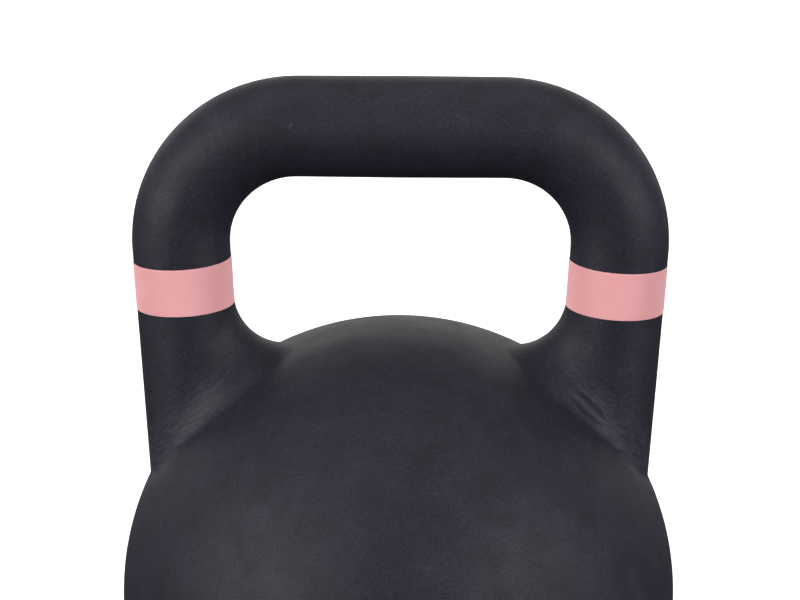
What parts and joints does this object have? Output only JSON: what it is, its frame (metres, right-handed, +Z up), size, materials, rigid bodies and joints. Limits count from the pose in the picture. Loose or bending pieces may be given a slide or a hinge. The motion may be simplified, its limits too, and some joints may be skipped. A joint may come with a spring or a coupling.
{
  "type": "kettlebell",
  "caption": "Round cast-iron kettlebell in black powder coat, with a rounded grip bar between two horns that each carry a pink band.",
  "frame": {"origin": "middle of the flat base, on the surface it stands on", "axes": "+Z up through the bell's centre, X along the grip bar, front towards -Y"},
  "size_m": [0.1818, 0.182, 0.25],
  "materials": {
    "iron": "faced bare base, as cast elsewhere",
    "black_coat": "fine-textured black powder coat",
    "pink_paint": "flat pink enamel"
  },
  "bodies": {
    "root": {"iron_casting": "iron", "powder_coat": "black_coat", "left_colour_band": "pink_paint", "right_colour_band": "pink_paint"}
  },
  "joints": []
}
